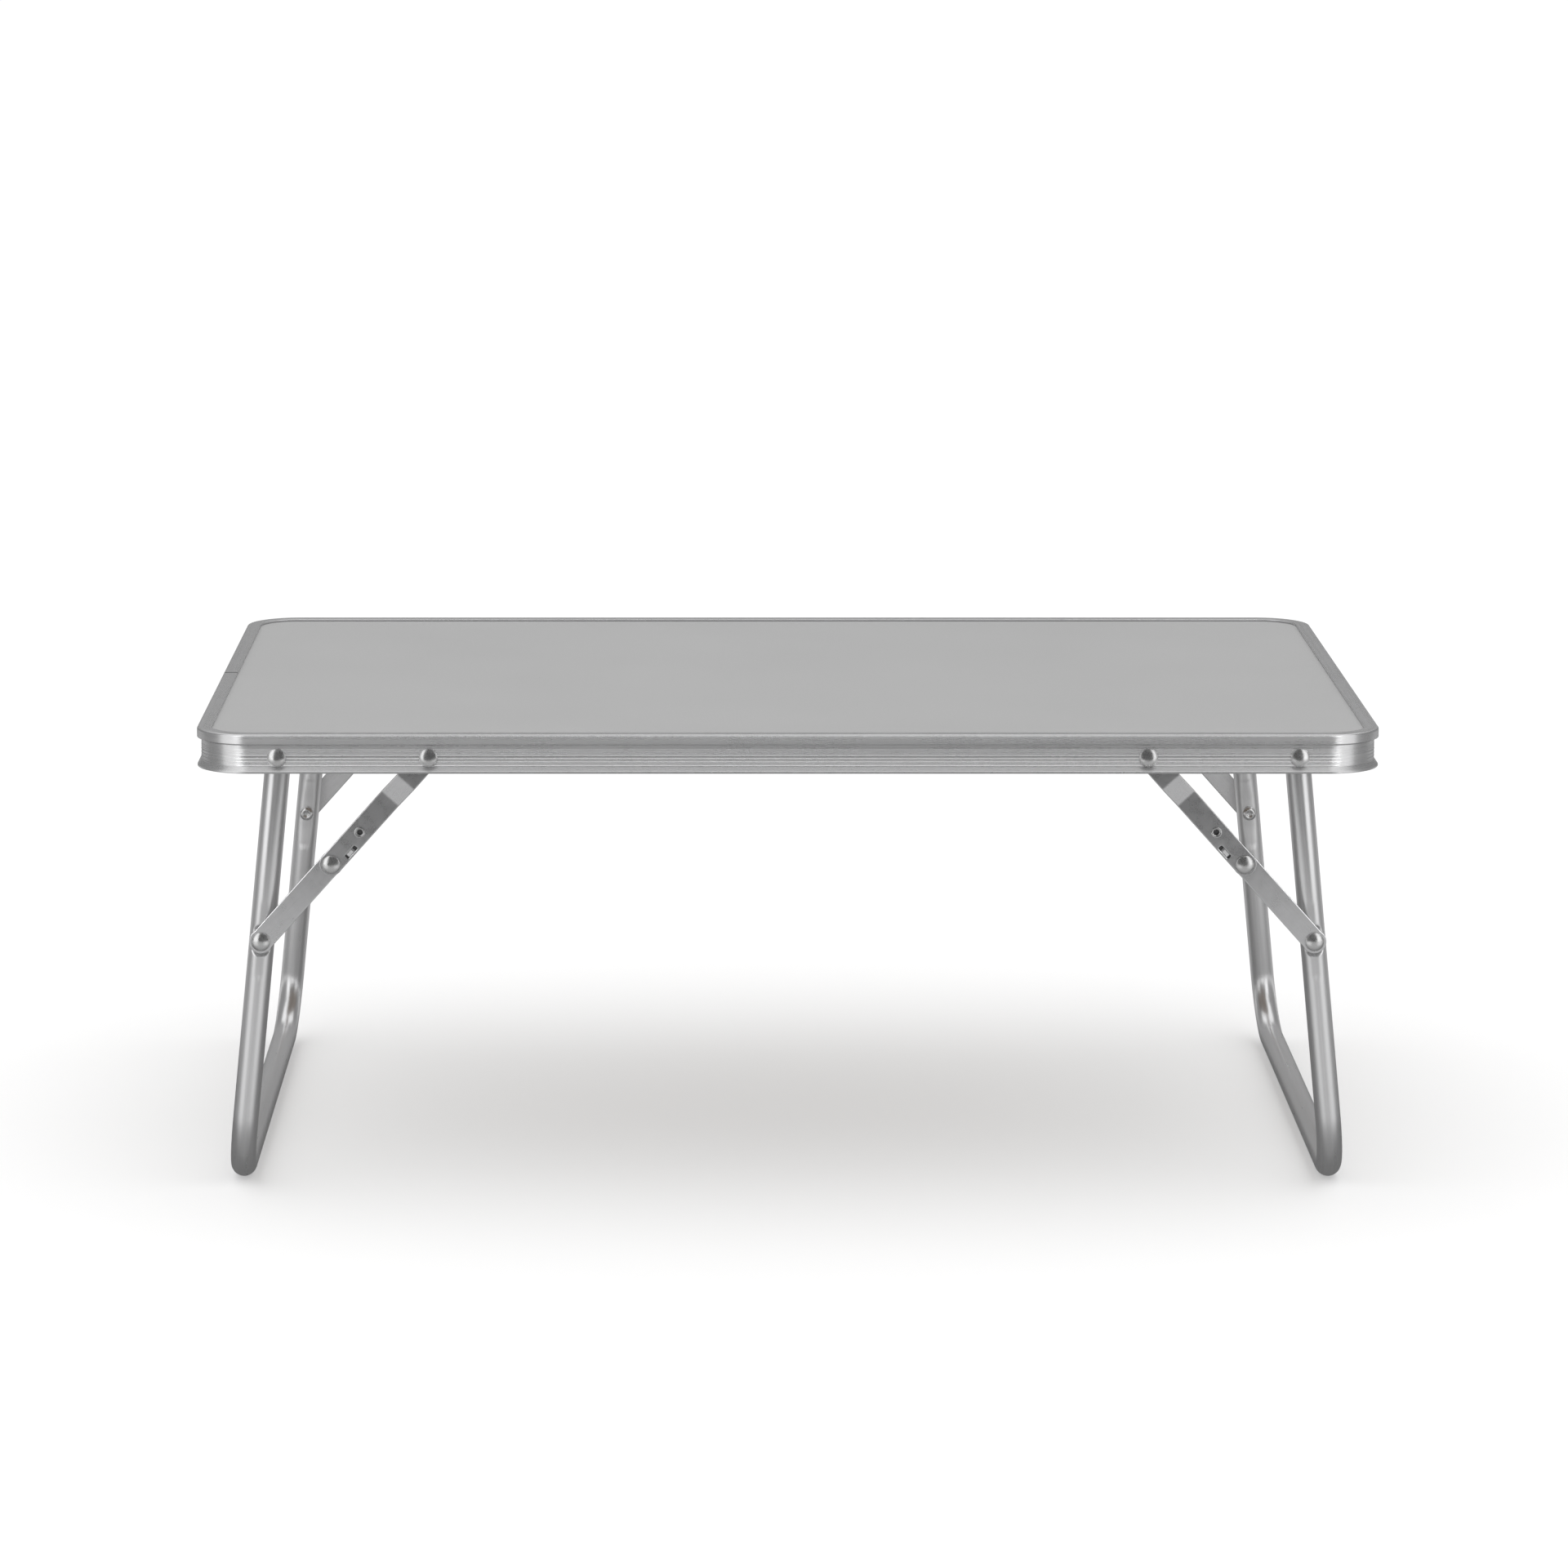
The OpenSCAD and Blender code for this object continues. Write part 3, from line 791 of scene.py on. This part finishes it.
def head_profile():
    """A domed head with a rolled rim, from its middle to the shank, heights from the seat."""
    sweep = math.radians(42)
    dome_steps = 18
    roll = 0.45 * MM
    roll_steps = 8
    foot = 0.2 * MM
    ball = (HEAD_R - roll) / math.sin(sweep) + roll
    roll_height = HEAD_H - ball + (ball - roll) * math.cos(sweep)
    points = []
    for k in range(dome_steps + 1):
        a = sweep * k / dome_steps
        points.append((ball * math.sin(a), HEAD_H - ball + ball * math.cos(a)))
    for k in range(1, roll_steps + 1):
        a = sweep + (math.pi / 2 - sweep) * k / roll_steps
        points.append((HEAD_R - roll + roll * math.sin(a), roll_height + roll * math.cos(a)))
    points += [(HEAD_R, foot), (HEAD_R - foot, 0), (SHANK_R, 0)]
    return points


def tail_profile(depth):
    """The rolled end of a rivet, whose washer lies at depth below the head's seat."""
    rolled = [(3.5, -0.02), (3.6, -0.45), (3.15, -0.95), (2.45, -1.2), (1.75, -1.12),
              (1.35, -0.8), (1.25, -0.3), (0.7, -0.18), (0, -0.15)]
    return [(SHANK_R, -depth)] + [(r * MM, -depth + h * MM) for r, h in rolled]


def turned(profile, places):
    """Builds one turned shape at each (side, end, x, y, z) place, heights going outboard."""
    def build(bm):
        for side, end, x, y, z in places:
            def place(a, height, b, side=side, end=end, x=x, y=y, z=z):
                return (side * x + a, end * (y + height), z + b)
            lathe(bm, profile, place)
    return build


def spots(point, seat_y, corners=CORNERS):
    """The same place at each of these corners, for turned()."""
    return [(side, end, point.x, seat_y, point.z) for side, end in corners]


def build_catch_rivet(side, end):
    """A hollow rivet: a rolled outer rim round an open bore."""
    low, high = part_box("catch_rivet_" + corner_name(1, 1))
    top = (high.y - low.y) / MM
    bore_r = BORE_R / MM
    bore = [(0, 0.7), (0.55, 0.75), (bore_r, 1.0), (bore_r, top - 1.1), (1.45, top - 0.6)]
    rim = [(1.8, top - 0.2), (2.1, top - 0.04), (2.35, top - 0.02), (2.6, top - 0.12),
           (2.8, top - 0.34), (2.82, top - 0.5), (2.7, top - 0.68)]
    shank = [(1.5, top - 0.7), (1.5, 0.5), (2.4, 0.5), (2.5, 0.3), (2.3, 0.02), (0, 0)]
    profile = [(r * MM, h * MM) for r, h in bore + rim + shank]
    return turned(profile, spots((low + high) / 2, low.y, [(side, end)]))


# ---------------------------------------------------------------- catch springs

# Outlines in millimetres along the brace: (along, across, radius) and (along, rise, radius).
LEAF = [(48.6, -3.2, 1.2), (48.6, 2.2, 1.2), (57.2, 2.2, 0.8), (58.4, 0.4, 0.8), (68.4, 0.4, 1.2),
        (68.4, -5.2, 1.2), (58.0, -5.2, 1.5), (56.6, -3.2, 1.0)]
TAB = [(61.4, 0.0, 0.0), (61.6, 0.5, 0.2), (62.6, 1.32, 0.5), (66.1, 1.4, 0.35), (66.5, 0.0, 0.0)]
TAB_LOW = -4.45
TAB_HIGH = -2.5
TAB_EDGE = 0.15
LEAF_T = 0.4 * MM
LEAF_EDGE = 0.1 * MM


def build_leaf(side, end):
    """The leaf behind the upper link, with the thumb tab that stands up into the window."""
    leaf_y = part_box("catch_spring_" + corner_name(1, 1))[0].y

    def build(bm):
        add_plate(bm, [[(x * MM, y * MM) for x, y in fillet(LEAF)]], LEAF_T, LEAF_EDGE)
        for v in bm.verts:
            v.co.z += LEAF_T / 2
        section = [(s * MM, rise * MM + LEAF_T - LEAF_EDGE) for s, rise in fillet(TAB)]
        edge = TAB_EDGE * MM
        widths = ((TAB_LOW, edge), (TAB_LOW + TAB_EDGE, 0), (TAB_HIGH - TAB_EDGE, 0), (TAB_HIGH, edge))
        rows = []
        for w, shrink in widths:
            rows.append([bm.verts.new((s, w * MM, rise - shrink if rise > LEAF_T else rise))
                         for s, rise in section])
        for first, second in zip(rows, rows[1:]):
            for k in range(len(section) - 1):
                bm.faces.new((first[k], first[k + 1], second[k + 1], second[k]))
        bm.faces.new(rows[0])
        bm.faces.new(rows[-1])
        map_flat(bm)
        for v in bm.verts:
            v.co = brace_point(side, end, v.co.x, leaf_y + v.co.z, v.co.y)
    return build


# ---------------------------------------------------------------- the pieces

def rivet_piece(name, depth, where, body, node):
    """Makes a piece of headed rivets whose rolled ends lie at that depth below the seats."""
    rivets = mesh_object(name, turned(head_profile() + tail_profile(depth), where))
    place_piece(rivets, body, "rivet_steel", [node])


def make_top():
    """The rail and the rivets that it carries."""
    rail = mesh_object("fluted_rail", build_rail, 50)
    place_piece(rail, "tabletop", "rail_aluminium", ["edge_rail"], RAIL_METAL)
    leg_depth = RIVET_SEAT_Y - TUBE_TAIL_Y + TAIL_REACH
    rivet_piece("leg_pivot_rivet_set", leg_depth, spots(LEG_PIVOT, RIVET_SEAT_Y),
                "tabletop", "leg_pivot_rivets")
    brace_depth = RIVET_SEAT_Y - LINK_TOP_Y
    rivet_piece("brace_pivot_rivet_set", brace_depth, spots(BRACE_PIVOT, RIVET_SEAT_Y),
                "tabletop", "brace_pivot_rivets")


def make_leg(side):
    """One U leg with the rivets that join its two braces to it."""
    name = "right" if side > 0 else "left"
    body = name + "_leg"
    leg = mesh_object(name + "_u_leg", build_leg(side), 60)
    place_piece(leg, body, "tube_aluminium", [name + "_leg_tube"])
    seat = LOWER_Y + LINK_T + SEAT_GAP
    where = spots(LEG_RIVET, seat, [(side, -1), (side, 1)])
    rivet_piece(name + "_leg_rivet_pair", seat - TUBE_TAIL_Y + TAIL_REACH, where,
                body, name + "_leg_rivets")


def make_brace(side, end):
    """One brace: two links, the head of the middle rivet, the hollow rivet and the catch leaf."""
    name = corner_name(side, end)
    upper_body = "upper_brace_" + name
    lower_body = "lower_brace_" + name
    upper = mesh_object("cranked_link_" + name, build_upper(side, end), 40)
    place_piece(upper, upper_body, "zinc_steel", ["upper_link_" + name], UPPER_LINK_METAL)
    lower = mesh_object("flat_link_" + name, build_lower(side, end), 40)
    place_piece(lower, lower_body, "zinc_steel", ["lower_link_" + name])
    seat = LINK_LOW_Y + LINK_T + SEAT_GAP
    shank_end = LOWER_Y + LINK_T + SHANK_GAP - seat
    profile = head_profile() + [(SHANK_R, shank_end), (0, shank_end)]
    where = spots(MID_PIVOT, seat, [(side, end)])
    head = mesh_object("mid_rivet_head_" + name, turned(profile, where))
    place_piece(head, upper_body, "rivet_steel", ["mid_rivet_" + name])
    hollow = mesh_object("hollow_rivet_" + name, build_catch_rivet(side, end), 50)
    place_piece(hollow, upper_body, "rivet_steel", ["catch_rivet_" + name])
    darken_bore(hollow, side, end)
    leaf = mesh_object("catch_leaf_" + name, build_leaf(side, end), 40)
    place_piece(leaf, "catch_" + name, "spring_steel", ["catch_spring_" + name])


def darken_bore(rivet, side, end):
    """Gives the closed end of a hollow rivet's bore a near-black second material, painted shade for the deep bore.
    """
    rivet.data.materials.append(BORE_SHADE)
    low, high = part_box("catch_rivet_" + corner_name(side, end))
    axis = (low + high) / 2
    dark_r = 0.97 * BORE_R
    dark_half = 0.9 * (high.y - low.y) / 2
    for face in rivet.data.polygons:
        away = math.hypot(face.center.x - axis.x, face.center.z - axis.z)
        if away < dark_r and abs(face.center.y - axis.y) < dark_half:
            face.material_index = 1


def dress_cad_nodes():
    """Gives each CAD node that still shows its slot's material."""
    for part in frame["record"]["subparts"]:
        dress(frame["nodes"][part["node"]], part["material_slot"])


# ---------------------------------------------------------------- studio

def emission(name, value):
    """A plain glow that is never sampled as a lamp."""
    s = Shader(name)
    light = s.node("Emission", {"Color": (value, value, value, 1)})
    s.tree.links.new(light.outputs[0], s.output.inputs[0])
    s.material.cycles.emission_sampling = "NONE"
    return s.material


def reflection_only(obj):
    """Hides a card from everything but mirror-like rays."""
    obj.visible_camera = False
    obj.visible_diffuse = False
    obj.visible_shadow = False
    obj.visible_transmission = False
    obj.visible_volume_scatter = False


def sheet(name, corners, material):
    """A flat sheet of the studio."""
    def build(bm):
        bm.faces.new([bm.verts.new(c) for c in corners])
    obj = mesh_object(name, build)
    obj.data.materials.append(material)
    return obj


def card(name, corners, value):
    """A glowing card that only mirror-like rays see."""
    reflection_only(sheet(name, corners, emission(name, value)))


def make_cards():
    """A small tent of cards that only the shiny parts see: white sides and a dark middle."""
    front = -HALF_W - 0.2
    back = 1.6
    dark = 0.37
    white = 0.75
    wide = 1.1
    low = 0.12
    top = 1.35
    dark_top = 1.05

    def wall(name, start, stop, z0, z1, value):
        """An upright card from start to stop, both (x, y)."""
        (x0, y0), (x1, y1) = start, stop
        card(name, [(x0, y0, z0), (x1, y1, z0), (x1, y1, z1), (x0, y0, z1)], value)

    wall("front_card_dark", (-dark, front), (dark, front), low, dark_top, 0.11)
    wall("front_card_above", (-dark, front), (dark, front), dark_top, top, 1.3)
    for side in (-1, 1):
        name = "left" if side < 0 else "right"
        edge = side * wide
        wall("front_card_" + name, (side * dark, front), (side * white, front), low, top, 1.2)
        wall("outer_card_" + name, (side * white, front), (edge, front), low, top, 0.3)
        wall("side_card_" + name, (edge, front), (edge, back), low, top, 0.25)
    wall("back_card", (-wide, back), (wide, back), 0, top, 0.33)
    ceiling = [(-wide, front, top), (wide, front, top), (wide, back, top), (-wide, back, top)]
    card("ceiling_card", ceiling, 1.15)


def floor_reflection(s):
    """What shiny parts see in the floor: grey, with bright bands to both sides and a dim middle."""
    incoming = s.node("SeparateXYZ", {0: s.node("NewGeometry").outputs["Incoming"]}).outputs
    sideways = s.math("MULTIPLY", incoming["X"], -1.0)
    heading = s.math("ABSOLUTE", s.math("ARCTAN2", sideways, incoming["Y"]))
    place = s.node("SeparateXYZ", {0: s.node("TexCoord").outputs["Object"]}).outputs
    shallow = s.smooth_step(incoming["Z"], 0.75, 0.35)

    def band(rise, fall, y_start, y_stop, amount):
        """A bright band between headings in degrees, that comes in from y_start to y_stop."""
        up = s.smooth_step(heading, *map(math.radians, rise))
        down = s.smooth_step(heading, *map(math.radians, fall))
        here = s.smooth_step(place["Y"], y_start, y_stop)
        lit = s.math("MULTIPLY", s.math("MULTIPLY", up, s.math("SUBTRACT", 1.0, down)), here)
        return s.math("MULTIPLY", s.math("MULTIPLY", lit, shallow), amount)

    sides = s.smooth_step(heading, *map(math.radians, (52, 88)))
    value = s.math("MULTIPLY_ADD", sides, -0.13, 0.43)
    value = s.math("ADD", value, band((16, 38), (52, 88), -0.1, -0.4, 0.36))
    value = s.math("ADD", value, band((105, 125), (140, 164), 0.1, 0.4, 0.2))
    # Painted shade: the reflected floor is darkened to about half under the table and just round it.
    side_margin = 0.42
    beyond_x = s.math("SUBTRACT", s.math("ABSOLUTE", place["X"]), HALF_L + side_margin)
    beyond_y = s.math("SUBTRACT", s.math("ABSOLUTE", place["Y"]), HALF_W)
    open_floor = s.smooth_step(s.math("MAXIMUM", beyond_x, beyond_y), -0.05, 0.1)
    return s.math("MULTIPLY", value, s.math("MULTIPLY_ADD", open_floor, 0.52, 0.48))


def floor_material():
    """A pale matte floor with its own look for shiny parts, clear when seen from below."""
    s = Shader("pale_floor")
    cloud = s.noise("Object", (1, 1, 1), 6.0, 3.0)
    color = s.tint(s.spread(cloud, 0.995, 1.0), (0.96, 0.96, 0.96))
    cloth = s.node("BsdfDiffuse", {"Color": color})
    glow = s.node("Emission", {"Color": (1, 1, 1, 1)})
    matte = s.node("MixShader", {0: 0.3, 1: cloth.outputs[0], 2: glow.outputs[0]})
    grey = s.node("Emission", {"Color": s.grey(floor_reflection(s))})
    path = s.node("LightPath")
    is_glossy = path.outputs["Is Glossy Ray"]
    mixed = s.node("MixShader", {0: is_glossy, 1: matte.outputs[0], 2: grey.outputs[0]})
    incoming = s.node("SeparateXYZ", {0: s.node("NewGeometry").outputs["Incoming"]}).outputs
    from_below = s.math("LESS_THAN", incoming["Z"], 0.0)
    clear = s.node("BsdfTransparent")
    one_sided = s.node("MixShader", {0: from_below, 1: mixed.outputs[0], 2: clear.outputs[0]})
    s.tree.links.new(one_sided.outputs[0], s.output.inputs[0])
    s.material.cycles.emission_sampling = "NONE"
    return s.material


def make_floor():
    """A wide level floor."""
    reach = 14.0
    corners = [(-reach, -reach, 0), (reach, -reach, 0), (reach, reach, 0), (-reach, reach, 0)]
    sheet("studio_floor", corners, floor_material())


def area_light(name, place, target, size, power):
    """A soft lamp for the matt side of everything."""
    data = bpy.data.lights.new(name, "AREA")
    data.shape = "RECTANGLE"
    data.size, data.size_y = size
    data.energy = power
    light = bpy.data.objects.new(name, data)
    light.location = place
    light.rotation_euler = (Vector(target) - Vector(place)).to_track_quat("-Z", "Y").to_euler()
    light.visible_glossy = False
    light.visible_camera = False
    bpy.context.scene.collection.objects.link(light)
    return light


def highlight(name, place, target, size, power, names, inside=False):
    """A strip lamp that only puts a highlight on the named pieces, inside or outside the cards."""
    light = area_light(name, place, target, size, power)
    light.visible_glossy = True
    light.visible_diffuse = False
    light.data.cycles.use_multiple_importance_sampling = inside
    group = bpy.data.collections.new(name + "_pieces")
    for piece in names:
        group.objects.link(bpy.data.objects[piece])
    light.light_linking.receiver_collection = group


def make_world(level):
    """An even white sky."""
    world = bpy.data.worlds.new("studio_world")
    world.use_nodes = True
    tree = world.node_tree
    tree.nodes["Background"].inputs["Color"].default_value = (1, 1, 1, 1)
    tree.nodes["Background"].inputs["Strength"].default_value = level
    world.cycles.sampling_method = "NONE"
    bpy.context.scene.world = world


def make_camera():
    """The photograph's long lens: a little above the top, slightly left of the middle."""
    data = bpy.data.cameras.new("camera")
    data.sensor_width = 36.0
    data.lens = 135.77
    data.shift_x = 0.05625
    data.clip_start = 0.05
    data.clip_end = 100
    camera = bpy.data.objects.new("camera", data)
    camera.location = (-0.0467, -3.1337, 0.7385)
    below_level = math.radians(10.12)
    camera.rotation_euler = (math.pi / 2 - below_level, 0, 0)
    bpy.context.scene.collection.objects.link(camera)
    bpy.context.scene.camera = camera


def light_legs_and_links():
    """Strips to both sides that run down the tubes and the brace links."""
    legs = ["left_u_leg", "right_u_leg"]
    highlight("tube_front", (0, -2.4, 0.35), (0, 0, 0.15), (0.9, 0.8), 1.5, legs)
    for side in (-1, 1):
        name = "left" if side < 0 else "right"
        highlight("tube_strip_" + name, (side * 1.3, -1.3, 0.75), (0, 0, 0.15), (0.35, 1.1), 0.65,
                  legs)
        corners = [corner_name(side, end) for end in (-1, 1)]
        links = [kind + corner for kind in ("cranked_link_", "flat_link_") for corner in corners]
        highlight("link_strip_" + name, (side * 1.9, -0.5, 1.35), (side * 0.2, -0.2, 0.15),
                  (0.7, 0.7), 6.0, links)


def light_rail():
    """Strips for the rail's front and corners, its ridges and its flare."""
    rail = ["fluted_rail"]
    middle = (0, -0.2, 0.225)
    highlight("rail_front", (0, -2.5, 0.15), (0, -0.2, 0.2), (1.4, 0.5), 1.9, rail)
    for side in (-1, 1):
        name = "left" if side < 0 else "right"
        highlight("corner_strip_" + name, (side * 0.8, -1.3, 0.5), (side * 0.27, -0.2, 0.2),
                  (0.3, 1.0), 1.5, rail)
    highlight("ridge_strip", (0, -0.38, 0.31), middle, (0.76, 0.06), 0.21, rail, True)
    highlight("flare_strip", (0, -0.34, 0.58), middle, (0.76, 0.2), 0.16, rail, True)


def light_catches():
    """Strips for the thumb tabs and the hollow rivets."""
    names = [corner_name(*corner) for corner in CORNERS]
    leaves = ["catch_leaf_" + name for name in names]
    hollow = ["hollow_rivet_" + name for name in names]
    highlight("tab_strip", (0, -0.38, 0.16), (0, -0.2, 0.19), (0.76, 0.08), 0.07, leaves, True)
    highlight("hollow_strip", (0, -0.2, 1.3), (0, -0.2, 0.22), (2.4, 0.5), 9.0, hollow, True)


def make_studio():
    """The floor, the cards, the lamps and the camera."""
    make_floor()
    make_cards()
    make_world(1.08)
    area_light("top_softbox", (0, -0.4, 2.6), (0, 0, 0.1), (3.0, 3.0), 10)
    light_legs_and_links()
    light_rail()
    light_catches()
    make_camera()
    view = bpy.context.scene.view_settings
    view.view_transform = "Standard"
    view.look = "None"


dress_cad_nodes()
make_top()
for leg_side in (-1, 1):
    make_leg(leg_side)
for corner in CORNERS:
    make_brace(*corner)
make_studio()
